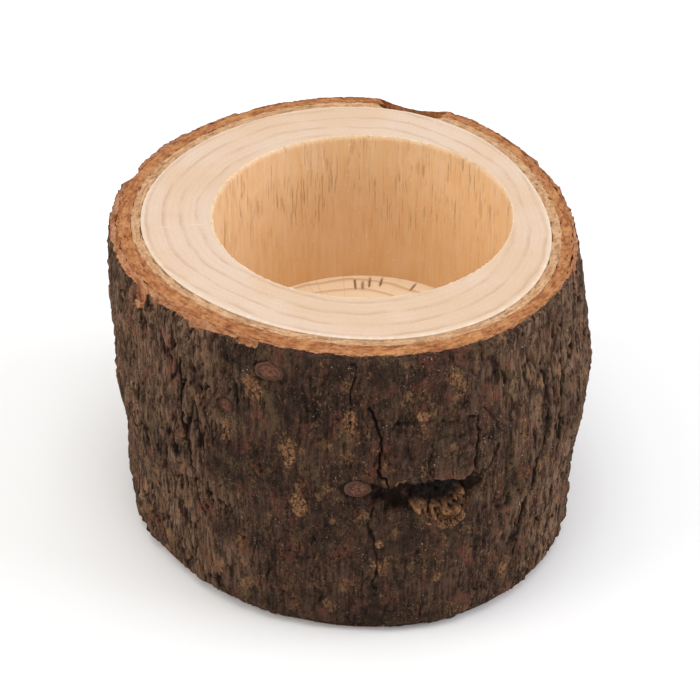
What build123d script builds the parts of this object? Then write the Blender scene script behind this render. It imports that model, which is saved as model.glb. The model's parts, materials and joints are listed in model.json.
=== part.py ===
"""Rustic candle holder: a short length of branch with its bark on, sawn square at both ends
and bored from the top to take a tealight or a small candle.

Frame: +Z up, origin on the axis of the candle bore, at the underside. Millimetres.
Angles are in degrees round the bore axis, from +X towards +Y; -Y is the front.
"""

import math
import os

from build123d import *

# The bore
BORE_DIAMETER = 40.0
BORE_DEPTH = 24.0

# The length of branch
LOG_HEIGHT = 45.0
RIM_WIDTH = 8.0  # mean width of the wood left round the bore
LOG_CENTRE = (-1.9, -0.35)  # middle of the log's outline, seen from the bore axis
LOG_LEAN = 0.7  # how far the foot of the log stands out to one side
LEAN_DIRECTION = -60.0
BELLY_HEIGHT = 24.0  # where the log is thickest
BELLY_SWELL = 1.2
BELLY_SIDE_SWELL = 1.1  # extra swell on the +X side, taken off the -X side

# The out-of-round of the wood: (height of the wave, lobes, direction of the first crest)
WOOD_WAVES = ((1.1, 2, 114.0), (0.7, 3, 70.0))

# The bark, from the wood outwards
BAST_THICKNESS = 1.3
CORK_THICKNESS = 1.7
CRUST_THICKNESS = 1.2
BARK_THICK_SIDE = -124.0  # where the cork and the crust are thickest
CORK_WAVE = 0.4
CRUST_WAVE = 0.35
RIM_BEVEL_WIDTH = 0.6  # the rubbed-off top edge of the crust
RIM_BEVEL_HEIGHT = 1.6
FOOT_BEVEL_WIDTH = 0.7
FOOT_BEVEL_HEIGHT = 1.5
CHIP_RADIUS = 7.0  # a scoop of bark broken out of the top edge
CHIP_DIRECTION = 72.0
CHIP_BITE = 2.4  # how far the scoop comes in from the crust's surface
CHIP_DEPTH = 2.6  # how far it comes down from the top

# The pith and the knots
PITH_DIAMETER = 2.0
KNOT_DIRECTION = -71.0
KNOT_RISE = 24.0  # degrees that the side branch climbs as it goes outwards
KNOT_DIAMETER = 8.4  # where the side branch leaves the log
KNOT_ROOT_DIAMETER = 1.6
KNOT_COVER = 1.5  # wood between the bore's floor and the side branch
SCAR_WIDTH = 15.5  # the hollow where the side branch broke off, along the bark
SCAR_HEIGHT = 4.4
SCAR_DEPTH = 2.8
SCAR_EDGE_ROUNDING = 1.6
SCAR_DIRECTION = -73.5
SCAR_OVERHANG = 0.6  # how far the hollow reaches above the top of the knot
TWIG_INSET = 2.0  # how far a twig's trace goes into the wood
# (direction, distance below the log's top, diameter)
TWIGS = ((-107.5, 3.4, 2.8), (-118.5, 10.5, 2.2), (-88.0, 19.3, 2.6))

OUTLINE_POINTS = 24
OUTREACH = 10.0  # how far a cutting tool runs past what it cuts
CONE_SEAM = 45.0  # keeps the side branch's seam line off its top, bottom and sides

FLOOR_HEIGHT = LOG_HEIGHT - BORE_DEPTH
BORE_RADIUS = BORE_DIAMETER / 2
KNOT_ROOT_DISTANCE = PITH_DIAMETER  # from the middle of the pith
KNOT_LEVEL = math.cos(math.radians(KNOT_RISE))  # level reach per length of side branch


def wave(angle, height, lobes, crest):
    """One sine wave round the log."""
    return height * math.cos(math.radians(lobes * (angle - crest)))


def wood_radius(angle):
    """Radius of the wood at the log's top, from the middle of its outline."""
    return BORE_RADIUS + RIM_WIDTH + sum(wave(angle, *w) for w in WOOD_WAVES)


def swell(angle):
    """How far the log's belly stands out past its top outline."""
    return BELLY_SWELL + wave(angle, BELLY_SIDE_SWELL, 1, 0.0)


def lean(angle):
    """How far the log's foot stands out past its top outline."""
    return wave(angle, LOG_LEAN, 1, LEAN_DIRECTION)


def to_bast(angle):
    """Growth from the wood to the outside of the bast."""
    return BAST_THICKNESS


def to_cork(angle):
    """Growth from the wood to the outside of the cork."""
    return to_bast(angle) + CORK_THICKNESS + wave(angle, CORK_WAVE, 1, BARK_THICK_SIDE)


def to_crust(angle):
    """Growth from the wood to the weathered outside of the bark."""
    return to_cork(angle) + CRUST_THICKNESS + wave(angle, CRUST_WAVE, 1, BARK_THICK_SIDE)


def profile_share(height):
    """Shares of the belly's swell and of the foot's lean at a height on the log."""
    if height >= BELLY_HEIGHT:
        rise = (height - BELLY_HEIGHT) / (LOG_HEIGHT - BELLY_HEIGHT)
        return math.cos(rise * math.pi / 2) ** 2, 0.0
    drop = (BELLY_HEIGHT - height) / BELLY_HEIGHT
    return math.cos(drop * math.pi / 2) ** 2, math.sin(drop * math.pi / 2) ** 2


def log_section(height, growth, inset=0.0):
    """The log's outline at a height, out to a layer, as a face."""
    belly_share, lean_share = profile_share(height)
    points = []
    for i in range(OUTLINE_POINTS):
        angle = 360 * i / OUTLINE_POINTS
        radius = wood_radius(angle) + growth(angle) - inset
        radius += belly_share * swell(angle) + lean_share * lean(angle)
        x = LOG_CENTRE[0] + radius * math.cos(math.radians(angle))
        y = LOG_CENTRE[1] + radius * math.sin(math.radians(angle))
        points.append((x, y, height))
    return make_face(Spline(*points, periodic=True))


def log_up_to(growth):
    """The whole log out to a layer, with square ends."""
    heights = (0, BELLY_HEIGHT / 2, BELLY_HEIGHT, (BELLY_HEIGHT + LOG_HEIGHT) / 2, LOG_HEIGHT)
    return loft([log_section(h, growth) for h in heights])


def weathered_log():
    """The whole log with its top and foot edges rubbed off."""
    shoulder = LOG_HEIGHT - RIM_BEVEL_HEIGHT
    low = FOOT_BEVEL_HEIGHT
    heights = (low, (low + BELLY_HEIGHT) / 2, BELLY_HEIGHT, (BELLY_HEIGHT + shoulder) / 2, shoulder)
    trunk = loft([log_section(h, to_crust) for h in heights])
    foot = loft([log_section(0, to_crust, FOOT_BEVEL_WIDTH), log_section(low, to_crust)])
    rim = loft([log_section(shoulder, to_crust), log_section(LOG_HEIGHT, to_crust, RIM_BEVEL_WIDTH)])
    return foot + trunk + rim


def from_log_centre(direction, distance, height):
    """A place at a distance out from the middle of the log, facing outwards."""
    x = LOG_CENTRE[0] + distance * math.cos(math.radians(direction))
    y = LOG_CENTRE[1] + distance * math.sin(math.radians(direction))
    return Pos(x, y, height) * Rot(0, 0, direction) * Rot(0, 90, 0)


def bore():
    """The cylinder that the boring bit takes out."""
    hole = Cylinder(BORE_RADIUS, BORE_DEPTH + OUTREACH, align=(Align.CENTER, Align.CENTER, Align.MIN))
    return Pos(0, 0, FLOOR_HEIGHT) * hole


def bark_distance(direction):
    """Distance from the middle of the log to the bark's surface at the belly."""
    return wood_radius(direction) + to_crust(direction) + swell(direction)


KNOT_REACH = bark_distance(KNOT_DIRECTION) - KNOT_ROOT_DISTANCE


def knot_radius(distance):
    """Radius of the side branch at a level distance out from its root."""
    root, exit_radius = KNOT_ROOT_DIAMETER / 2, KNOT_DIAMETER / 2
    return root + (exit_radius - root) * distance / KNOT_REACH


def knot_axis_height(distance):
    """Height of the side branch's axis at a level distance out from its root.

    The branch passes the wall of the bore with KNOT_COVER of wood over it.
    """
    passing = BORE_RADIUS + math.hypot(*LOG_CENTRE) - KNOT_ROOT_DISTANCE
    passing_height = FLOOR_HEIGHT - KNOT_COVER - knot_radius(passing) / KNOT_LEVEL
    return passing_height + math.tan(math.radians(KNOT_RISE)) * (distance - passing)


def side_branch():
    """The side branch's wood as a long cone that starts near the pith and climbs outwards."""
    reach = KNOT_REACH + OUTREACH
    cone = Cone(
        knot_radius(0),
        knot_radius(reach),
        reach / KNOT_LEVEL,
        align=(Align.CENTER, Align.CENTER, Align.MIN),
    )
    root = from_log_centre(KNOT_DIRECTION, KNOT_ROOT_DISTANCE, knot_axis_height(0))
    return root * Rot(0, -KNOT_RISE, 0) * Rot(0, 0, CONE_SEAM) * cone


def branch_scar():
    """The hollow that the broken-off side branch left in the bark, as a level round-edged disc.

    The disc meets the curved bark in a lens that is SCAR_WIDTH long and SCAR_DEPTH deep.
    """
    surface = bark_distance(SCAR_DIRECTION)
    half_width = SCAR_WIDTH / 2
    falling_away = surface - math.sqrt(surface**2 - half_width**2)
    bite = SCAR_DEPTH - falling_away
    disc_radius = (half_width**2 + bite**2) / (2 * bite)
    disc = Cylinder(disc_radius, SCAR_HEIGHT)
    disc = fillet(disc.edges().filter_by(GeomType.CIRCLE), SCAR_EDGE_ROUNDING)
    knot_top = knot_axis_height(KNOT_REACH) + knot_radius(KNOT_REACH) / KNOT_LEVEL
    height = knot_top + SCAR_OVERHANG - SCAR_HEIGHT / 2
    centre = from_log_centre(SCAR_DIRECTION, surface - SCAR_DEPTH + disc_radius, height)
    return centre * Rot(0, -90, 0) * disc


def twig(direction, below_top, diameter):
    """The trace of one small twig, from just inside the wood to well past the bark."""
    height = LOG_HEIGHT - below_top
    start = wood_radius(direction) - TWIG_INSET
    rod = Cylinder(diameter / 2, TWIG_INSET + OUTREACH, align=(Align.CENTER, Align.CENTER, Align.MIN))
    return from_log_centre(direction, start, height) * rod


def rim_chip():
    """The scoop where the top edge of the bark has broken away."""
    surface = wood_radius(CHIP_DIRECTION) + to_crust(CHIP_DIRECTION)
    ball = Pos(0, 0, CHIP_RADIUS - CHIP_BITE) * Sphere(CHIP_RADIUS)
    return from_log_centre(CHIP_DIRECTION, surface, LOG_HEIGHT + CHIP_RADIUS - CHIP_DEPTH) * ball


def build():
    """Every sub-part, by the name of its node."""
    wood_log = log_up_to(lambda angle: 0.0)
    bast_log = log_up_to(to_bast)
    cork_log = log_up_to(to_cork)
    bark_log = weathered_log()
    branch = side_branch()
    twigs = [twig(*t) for t in TWIGS]
    pith = Pos(*LOG_CENTRE) * Cylinder(
        PITH_DIAMETER / 2, FLOOR_HEIGHT, align=(Align.CENTER, Align.CENTER, Align.MIN)
    )
    knots = [branch, *twigs]
    missing = [rim_chip(), branch_scar()]
    return {
        "wood_body": wood_log - bore() - pith - knots,
        "pith": pith,
        "inner_bark": bast_log - wood_log - knots - missing,
        "cork_layer": cork_log - bast_log - knots - missing,
        "outer_bark": bark_log - cork_log - knots - missing,
        "branch_knot": (branch & bark_log) - branch_scar(),
        "twig_knots": Compound([t & bark_log for t in twigs]),
    }


os.makedirs("parts", exist_ok=True)
for name, shape in build().items():
    shape.label = name
    export_step(shape, f"parts/{name}.step")
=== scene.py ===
"""Looks of a candle holder made from a short length of branch with its bark on.

The pieces are the sawn and bored wood, its pith, the bast, the cork and the crust of the bark,
the broken-off side branch and three small twigs. Lengths are in millimetres until a mesh is
made, and angles are in degrees round the pith, with the front at -90.
"""

import json
import math

import bmesh
import bpy
import numpy as np
from mathutils import Matrix, Vector, noise
from mathutils.bvhtree import BVHTree


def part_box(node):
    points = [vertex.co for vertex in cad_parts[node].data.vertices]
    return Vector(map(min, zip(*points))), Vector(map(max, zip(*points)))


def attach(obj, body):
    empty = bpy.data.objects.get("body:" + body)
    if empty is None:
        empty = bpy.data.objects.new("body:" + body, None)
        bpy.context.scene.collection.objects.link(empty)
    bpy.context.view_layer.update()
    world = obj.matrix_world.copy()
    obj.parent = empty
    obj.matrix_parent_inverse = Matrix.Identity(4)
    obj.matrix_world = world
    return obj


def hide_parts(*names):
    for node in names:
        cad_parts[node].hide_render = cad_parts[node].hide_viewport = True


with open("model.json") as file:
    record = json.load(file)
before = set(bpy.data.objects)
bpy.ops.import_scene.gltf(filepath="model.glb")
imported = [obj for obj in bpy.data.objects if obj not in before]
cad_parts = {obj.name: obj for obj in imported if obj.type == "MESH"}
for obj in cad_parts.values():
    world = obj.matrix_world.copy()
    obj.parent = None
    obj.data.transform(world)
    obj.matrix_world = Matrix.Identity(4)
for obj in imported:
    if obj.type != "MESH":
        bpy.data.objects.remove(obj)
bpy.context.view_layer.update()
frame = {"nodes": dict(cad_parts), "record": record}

MM = 0.001
NODES = frame["nodes"]


def middle(node):
    low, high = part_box(node)
    return (low + high) / 2 / MM


def mount(name):
    return next(m for m in frame["record"]["mounts"] if m["name"] == name)


PITH = middle("pith").to_2d()
PITH_RADIUS = (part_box("pith")[1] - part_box("pith")[0]).x / 2 / MM
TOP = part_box("wood_body")[1].z / MM
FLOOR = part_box("pith")[1].z / MM
BORE_RADIUS = mount("candle_bore")["dims"]["r_mm"]

# --- the layers' walls

LOBES = 6
OUTSIDE = 60  # a radius well clear of the log, from which rays are sent inwards
RAY_LENGTH = 45
FIT_ERROR = 0.12  # a spot further than this off the waves is taken as cut away


def smoothstep(low, high, value):
    """From 0 at low to 1 at high; low may be the larger of the two."""
    t = min(1.0, max(0.0, (value - low) / (high - low)))
    return t * t * (3 - 2 * t)


def turn_between(angle, other):
    """Signed turn from one angle to another, in degrees."""
    return (angle - other + 180) % 360 - 180


def surface_of(node):
    mesh = NODES[node].data
    corners = [v.co / MM for v in mesh.vertices]
    return BVHTree.FromPolygons(corners, [tuple(p.vertices) for p in mesh.polygons])


def waves_round(angles):
    """Terms of the waves that describe a layer's outline, up to LOBES waves a turn."""
    terms = [np.ones_like(angles)]
    for k in range(1, LOBES + 1):
        terms += [np.cos(k * angles), np.sin(k * angles)]
    return np.stack(terms, -1)


class Wall:
    """The smooth outer wall of a layer: its radius about an axis, at any angle and height.

    Places where the wall has been cut away stand off the waves that fit the rest, and are left
    out, so that the wall runs on through them.
    """

    heights = np.linspace(2.0, 43.0, 14)

    def __init__(self, node, centre):
        surface = surface_of(node)
        angles = np.radians(np.arange(0, 360, 4.0))
        waves = waves_round(angles)
        self.rows = []
        for height in self.heights:
            radii = np.array([self.reach(surface, centre, a, height) for a in angles])
            kept = radii > 0
            for _ in range(4):
                row = np.linalg.lstsq(waves[kept], radii[kept], rcond=None)[0]
                kept = np.abs(waves @ row - radii) < FIT_ERROR
            self.rows.append(row)
        self.rows = np.array(self.rows)

    @staticmethod
    def reach(surface, centre, angle, height):
        way = Vector((math.cos(angle), math.sin(angle), 0))
        start = Vector((centre[0], centre[1], height)) + way * OUTSIDE
        hit = surface.ray_cast(start, -way, RAY_LENGTH)
        return OUTSIDE - hit[3] if hit[0] else -1.0

    def radius(self, angles, heights):
        """Radii for arrays of angles, in degrees, and heights."""
        angles, heights = np.atleast_1d(angles), np.atleast_1d(heights)
        columns = [np.interp(heights, self.heights, c) for c in self.rows.T]
        return (waves_round(np.radians(angles)) * np.stack(columns, -1)).sum(-1)


WOOD_FROM_BORE = Wall("wood_body", (0, 0))
WOOD = Wall("wood_body", PITH)
BAST = Wall("inner_bark", PITH)
CORK = Wall("cork_layer", PITH)
CRUST = Wall("outer_bark", PITH)
GIRTH = float(CRUST.radius(-90, TOP / 2)[0])  # a round figure for lengths along the bark


def on_bark(angle, height):
    """A place on a plain cylinder of the log's girth, where the bark's patterns are worked out."""
    a = math.radians(angle)
    return Vector((GIRTH * math.cos(a), GIRTH * math.sin(a), height))


def grain(place, across, along, octaves=3, seed=0.0):
    """Unevenness drawn out along the trunk, from about -1 to 1."""
    spot = Vector((place.x / across, place.y / across, place.z / along + 31.7 * seed))
    return noise.fractal(spot, 0.85, 2.05, octaves)


def plain(place, size, seed=0.0):
    """One even layer of unevenness, from about -1 to 1."""
    return noise.noise(Vector((place.x / size, place.y / size, place.z / size + 17.3 * seed)))


# --- marks in the bark


def knot_mouth():
    """Angle and height at which the side branch leaves the log."""
    corners = [v.co / MM for v in NODES["branch_knot"].data.vertices]
    reach = [(c.to_2d() - PITH).length for c in corners]
    far = [c for c, r in zip(corners, reach) if r > max(reach) - 2.5]
    low = min(c.z for c in far)
    mean = sum((c.to_2d() - PITH for c in far), Vector((0, 0))) / len(far)
    return math.degrees(math.atan2(mean.y, mean.x)), low


def twig_places():
    """Angle, height and radius of each small twig, from the separate rods of the CAD node."""
    mesh = bmesh.new()
    mesh.from_mesh(NODES["twig_knots"].data)
    bmesh.ops.remove_doubles(mesh, verts=mesh.verts, dist=1e-6)
    unseen = set(mesh.verts)
    found = []
    while unseen:
        island, front = set(), [unseen.pop()]
        while front:
            v = front.pop()
            island.add(v)
            for e in v.link_edges:
                w = e.other_vert(v)
                if w in unseen:
                    unseen.discard(w)
                    front.append(w)
        spots = [v.co / MM for v in island]
        low, high = min(s.z for s in spots), max(s.z for s in spots)
        mean = sum(spots, Vector()) / len(spots)
        angle = math.degrees(math.atan2(mean.y - PITH.y, mean.x - PITH.x))
        found.append((angle, (low + high) / 2, (high - low) / 2))
    mesh.free()
    return sorted(found, key=lambda t: -t[1])


KNOT_ANGLE, KNOT_LOW = knot_mouth()
KNOT_RADIUS = 4.4
KNOT_HEIGHT = KNOT_LOW + KNOT_RADIUS
SCAR_ANGLE = KNOT_ANGLE - 2.5
SCAR_HEIGHT = KNOT_HEIGHT + 3.3
TWIGS = twig_places()
SCAR_HALF_WIDTH = 8.1
SCAR_REACH = 11.0  # beyond this far along the bark, the scar marks nothing
SCAR_BELOW, SCAR_ABOVE = 12.0, 6.0  # the same, down and up
SCAR_DEPTH = 2.1
SILL_DROP = 5.2  # how much lower the hollow's sill is in front of the branch
SCAR_POCKET = 3.35  # room behind the scar, deeper than the scar and the knot's torn end
SMOOTH_MIDDLE, SMOOTH_HALF_WIDTH = -88, 37  # angles of the smoother bark at the front
CHIP_ANGLE = 72.0
CHIP_DEPTH, CHIP_HALF_WIDTH, CHIP_DROP = 2.3, 6.0, 3.4


def along_bark(angle, other):
    """Length along the bark between two angles."""
    return math.radians(turn_between(angle, other)) * GIRTH


# How much wider than tall each twig's end is, from the top one down
TWIG_WIDTHS = (1.5, 1.0, 1.35)
TWIG_REACH = 15  # degrees either side of a twig within which it marks the bark
# Flecks of bare inner bark: angle, height, width, height of the fleck
BARE_FLECKS = (
    (-83.5, 16.4, 0.9, 0.9),
    (-83.9, 12.4, 0.7, 1.7),
    (-67.4, 41.2, 0.9, 1.1),
    (-118.4, 30.4, 0.9, 2.2),
    (-103.2, 30.0, 1.3, 2.8),
    (-101.0, 21.8, 1.5, 2.6),
    (-89.5, 36.0, 1.2, 2.0),
    (-74.5, 36.6, 1.4, 0.9),
    (-53.5, 6.8, 1.0, 2.2),
    (-111.5, 38.3, 2.0, 2.6),
)
# Where the crust has flaked off below the sawn edge: angle, width and drop
NOTCHES = (
    (-147.0, 2.0, 3.4),
    (-141.0, 1.0, 1.1),
    (-127.5, 1.9, 0.45),
    (-113.5, 2.6, 0.35),
    (-22.0, 1.6, 0.9),
    (160.0, 1.8, 1.2),
    (118.0, 1.5, 0.9),
    (25.0, 1.4, 0.8),
)

# Cracks as runs of (angle, height), with a half-width and a depth
CRACKS = (
    (((-85.6, 38.0), (-83.0, 33.3), (-83.5, 28.7), (-81.8, 26.4)), 0.13, 0.6),
    (((-61.7, 35.6), (-62.8, 32.6), (-62.4, 30.0), (-64.2, 26.6)), 0.13, 0.7),
    (((-80.1, 35.6), (-75.0, 35.9), (-71.6, 35.5), (-66.5, 34.6), (-60.4, 35.2)), 0.13, 0.32),
    (((-88.2, 42.4), (-89.9, 37.4), (-88.9, 35.0)), 0.13, 0.35),
    (((-72.6, 31.6), (-73.4, 29.4), (-72.8, 27.0)), 0.13, 0.3),
    (((-81.4, 29.9), (-77.6, 29.6)), 0.12, 0.2),
    (((-80.8, 31.0), (-77.2, 30.9)), 0.12, 0.2),
    (((-67.6, 32.3), (-64.2, 33.0)), 0.12, 0.22),
    (((-68.0, 30.8), (-64.0, 31.6)), 0.12, 0.22),
    (((-67.2, 29.5), (-64.4, 30.1)), 0.12, 0.2),
    (((-84.6, 22.6), (-85.8, 19.4), (-83.9, 14.2), (-84.6, 8.0)), 0.2, 0.35),
    (((-44.5, 37.0), (-43.6, 29.0), (-47.2, 22.0), (-50.4, 12.0), (-51.0, 8.0)), 0.2, 0.55),
    (((-36.4, 41.0), (-38.0, 30.0), (-40.6, 20.0)), 0.2, 0.7),
    (((-64.8, 24.6), (-59.5, 26.8), (-57.5, 29.4)), 0.2, 0.45),
    (((-150.5, 33.0), (-147.0, 20.0), (-143.5, 6.0)), 0.2, 0.6),
    (((-132.0, 40.0), (-131.0, 27.0), (-127.0, 14.0)), 0.18, 0.6),
)


CRACK_REACH = 20  # degrees from a crack's start beyond which it marks nothing

# Slow swellings and dips of the bark: place, width, height and how far it stands out
SWELLINGS = (
    ((-10, 25.5), 3.4, 3.6, 0.4),
    ((-73, 31), 6.0, 4.6, 0.35),
    ((-18, 15), 9.0, 6.0, -0.6),
    ((-163, 11), 15.0, 9.0, -0.95),
)


def run_distance(angle, height, run):
    """Distance along the bark's surface from a place to a run of points."""
    best = 99.0
    here = Vector((0.0, height))
    for (a0, z0), (a1, z1) in zip(run, run[1:]):
        start = Vector((along_bark(a0, angle), z0))
        end = Vector((along_bark(a1, angle), z1))
        way = end - start
        t = min(1.0, max(0.0, (here - start).dot(way) / way.length_squared))
        best = min(best, (start + way * t - here).length)
    return best


def crack_depth(angle, height, place):
    deepest = 0.0
    wander = 0.9 * plain(place, 2.6, 3) + 0.5 * plain(place, 0.9, 4)
    for run, half_width, depth in CRACKS:
        if abs(turn_between(angle, run[0][0])) > CRACK_REACH:
            continue
        d = run_distance(angle + wander, height, run)
        if d < 3 * half_width:
            deepest = max(deepest, depth * math.exp(-((d / half_width) ** 2)))
    return deepest


def scar(angle, height, place):
    """Depth of the side branch's scar, how far its upper lip stands out, and how torn it is."""
    u = along_bark(angle, SCAR_ANGLE)
    if abs(u) > SCAR_REACH or not -SCAR_BELOW < height - SCAR_HEIGHT < SCAR_ABOVE:
        return 0.0, 0.0, 0.0
    v = height - SCAR_HEIGHT + 1.3 * plain(place, 2.1, 5) + 0.6 * grain(place, 0.75, 0.9, 2, 6)
    inside = math.sqrt(max(0.0, 1 - (u / SCAR_HALF_WIDTH) ** 2))
    lip = 1.3 * inside**0.6
    over_knot = math.exp(-(((u - 0.4 + 0.35 * v) / 3.9) ** 2)) * (1 + 0.5 * plain(place, 1.5, 16))
    if v > lip:
        crumbled = smoothstep(-0.05, 0.3, grain(place, 1.3, 1.1, 2, 17)) * inside
        crumbled *= 0.9 * line_in(v - lip - 0.35, 0.5)
        return 0.0, 0.3 * inside * math.exp(-(((v - lip - 0.8) / 1.3) ** 2)), crumbled
    shelf = lip - 1.4 - 0.9 * inside - 1.2 * math.exp(-(((u + 4.6) / 2.6) ** 2))
    sill = shelf - 0.9 - SILL_DROP * over_knot
    under = smoothstep(lip, lip - 0.8, v)
    ramp = smoothstep(sill, shelf, v) ** 0.75
    depth = SCAR_DEPTH * inside * under * ramp
    torn = smoothstep(sill - 1.6, sill + 1.2, v) * smoothstep(shelf + 1.1, shelf - 0.8, v)
    return depth, 0.0, torn * max(over_knot, 0.15 * inside)


def scar_pocket(angle, height):
    """Room that the layers under the crust leave for the scar."""
    across = along_bark(angle, SCAR_ANGLE) / 8.6
    return SCAR_POCKET * smoothstep(1.25, 0.9, math.hypot(across, (height - SCAR_HEIGHT + 2.2) / 5.6))


def rim_chip(angle, height):
    """Depth of the scoop broken out of the bark's top edge at the back."""
    u = along_bark(angle, CHIP_ANGLE) / CHIP_HALF_WIDTH
    v = (TOP - height) / CHIP_DROP
    return CHIP_DEPTH * max(0.0, 1 - u * u - v * v) ** 0.8


def carved(angle, height):
    """How far the scar or the rim's chip reaches into the bark's layers."""
    return max(scar_pocket(angle, height), rim_chip(angle, height))


def furrowed(angle):
    """How deeply the bark is furrowed: least at the front, and most elsewhere."""
    front = math.exp(-((turn_between(angle, SMOOTH_MIDDLE) / SMOOTH_HALF_WIDTH) ** 4))
    return 1.0 - 0.75 * front


def knob(angle, height, at, across, tall):
    """A rounded spot on the bark: 1 at its middle, fading to nothing."""
    u = along_bark(angle, at[0]) / across
    v = (height - at[1]) / tall
    return math.exp(-(u * u + v * v))


def line_in(value, width):
    """1 where the value is nothing, fading as it passes the width."""
    return math.exp(-((value / width) ** 2))


def twig_collars(angle, height, place, relief, hollow):
    """The relief with a low collar round each twig and a dip for the twig's end, and the painted shade,
    cleared over the end and laid in a ring round it.
    """
    for (at, z, size), width in zip(TWIGS, TWIG_WIDTHS):
        if abs(turn_between(angle, at)) < TWIG_REACH:
            ring = math.hypot(along_bark(angle, at) / width, height - z) / size
            ring += 0.15 * plain(place, 0.9, 13)
            dip = math.exp(-(ring**4))
            relief += 0.22 * line_in(ring - 1.45, 0.4) - 0.55 * dip
            hollow = hollow * (1 - dip) + 0.45 * line_in(ring - 1.12, 0.2)
    return relief, hollow


def bark_relief(angle, height):
    """How far the crust stands off its smooth wall, the painted shade in its hollows, and how bare and
    crumbly it is.
    """
    place = on_bark(angle, height)
    bent = place + Vector((plain(place, 5, 1), plain(place, 5, 2), 0)) * 1.2
    rough = furrowed(angle)
    smooth = 1 - rough
    broad = 0.42 * plain(place, 13, 4) + 0.22 * plain(place, 6, 6)
    ridges = 1 - 2 * abs(grain(bent, 1.7, 11, 2, 1))
    fibres = 1 - 2 * abs(grain(bent, 0.75, 5, 2, 2))
    scale_gap, scale_at = noise.voronoi(Vector((bent.x / 1.9, bent.y / 1.9, bent.z / 4.4)))
    seam = smoothstep(0.16, 0.02, scale_gap[1] - scale_gap[0])
    lift = noise.cell(scale_at[0] * 7.3)
    furrow = line_in(grain(bent, 2.5, 17, 2, 7), 0.05) * smoothstep(-0.2, 0.2, plain(place, 6, 8))
    shallow = line_in(grain(bent, 1.0, 7, 2, 17), 0.08) * smoothstep(-0.1, 0.3, plain(place, 4, 18))
    wide = Vector((place.x * 0.55, place.y * 0.55, place.z * 1.7))
    cross = line_in(grain(wide, 2.6, 2.6, 3, 9), 0.05) * smoothstep(0.05, 0.35, plain(place, 4, 10))
    crumbs = grain(place, 0.55, 0.75, 3, 11)
    crack = crack_depth(angle, height, place)
    hole, lip, torn = scar(angle, height, place)
    relief = broad + lip + 0.08 * crumbs + 0.05 * grain(place, 0.3, 0.5, 2, 12)
    relief += rough * (0.26 * ridges + 0.15 * fibres) + smooth * (0.07 * ridges + 0.02 * fibres)
    relief += (0.08 + 0.12 * rough) * (lift - 0.6) - (0.05 + 0.17 * rough) * seam
    relief -= (0.12 + 0.55 * rough) * furrow + (0.05 + 0.35 * rough) * shallow
    relief -= (0.24 - 0.12 * rough) * cross + crack
    for at, across, tall, out in SWELLINGS:
        relief += out * knob(angle, height, at, across, tall)
    # Painted shade: the furrows, seams, cracks and the scar's hollow are darkened in colour
    hollow = (0.2 + 0.6 * rough) * furrow + (0.2 + 0.45 * rough) * shallow
    hollow += 0.4 * cross + (0.12 + 0.2 * rough) * seam
    shade = 0.45 + 0.65 * smoothstep(-0.25, 0.15, grain(place, 1.3, 1.1, 3, 19))
    hollow += min(1.0, 1.8 * crack) + smoothstep(0.35, 1.4, hole) * (1 - 0.95 * torn) * shade
    bare = torn
    relief, hollow = twig_collars(angle, height, place, relief, hollow)
    for at, z, across, tall in BARE_FLECKS:
        bare = max(bare, 0.9 * knob(angle, height, (at, z), across, tall))
    knot_ring = math.hypot(along_bark(angle, KNOT_ANGLE), height - KNOT_HEIGHT)
    knot_ring += 0.5 * plain(place, 1.1, 14)
    relief = max(relief, -1.02) - hole
    over_branch = smoothstep(KNOT_RADIUS - 0.3, KNOT_RADIUS - 0.9, knot_ring)
    relief -= 0.75 * over_branch * smoothstep(0.1, 0.5, hole)
    return relief, min(1.0, max(0.0, hollow)), bare, crumbs


def crust_edge(angle):
    """Drop of the crust's chipped top edge below the sawn face, and of its flaked notches."""
    place = on_bark(angle, 0)
    chipped = 0.1 + 0.3 * abs(grain(place, 1.6, 9, 3, 21)) + 0.3 * max(0.0, plain(place, 5, 22))
    notch = 0.0
    for at, width, drop in NOTCHES:
        u = abs(along_bark(angle, at)) / width + 0.25 * plain(place, 0.8, 23)
        notch = max(notch, drop * smoothstep(1.0, 0.35, u))
    return chipped, notch


# --- turning pieces

# Radii of the plain grid that a piece is spun on before it takes its true shape
GRID_IN, GRID_OUT = 10, 11
# Steps round the log: the crust's stay under the limit of triangles for one piece
WOOD_STEPS, SOFT_STEPS, CRUST_STEPS = 480, 600, 665


def spun(profile, closed, steps):
    """A profile of (radius, height) spun once round the upright axis."""
    mesh = bmesh.new()
    verts = [mesh.verts.new((r, 0, z)) for r, z in profile]
    pairs = list(zip(verts, verts[1:])) + ([(verts[-1], verts[0])] if closed else [])
    edges = [mesh.edges.new(p) for p in pairs]
    bmesh.ops.spin(
        mesh,
        geom=verts + edges,
        cent=(0, 0, 0),
        axis=(0, 0, 1),
        angle=math.tau,
        steps=steps,
        use_merge=True,
        use_duplicate=False,
    )
    bmesh.ops.remove_doubles(mesh, verts=mesh.verts, dist=1e-5)
    return mesh


def finished(mesh, name, finishes, nodes, marks=None, sharp=50):
    """Makes the piece: closed, facing outwards, in metres, with its marks and finishes."""
    bmesh.ops.recalc_face_normals(mesh, faces=mesh.faces)
    bmesh.ops.scale(mesh, vec=(MM, MM, MM), verts=mesh.verts)
    data = bpy.data.meshes.new(name)
    mesh.to_mesh(data)
    mesh.free()
    for mark, values in (marks or {}).items():
        layer = data.attributes.new(mark, "FLOAT", "POINT")
        layer.data.foreach_set("value", np.array(values, np.float32))
    data.polygons.foreach_set("use_smooth", [True] * len(data.polygons))
    data.set_sharp_from_angle(angle=math.radians(sharp))
    for finish in finishes:
        data.materials.append(finish)
    piece = bpy.data.objects.new(name, data)
    bpy.context.scene.collection.objects.link(piece)
    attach(piece, "root")
    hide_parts(*nodes)
    return piece


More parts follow.
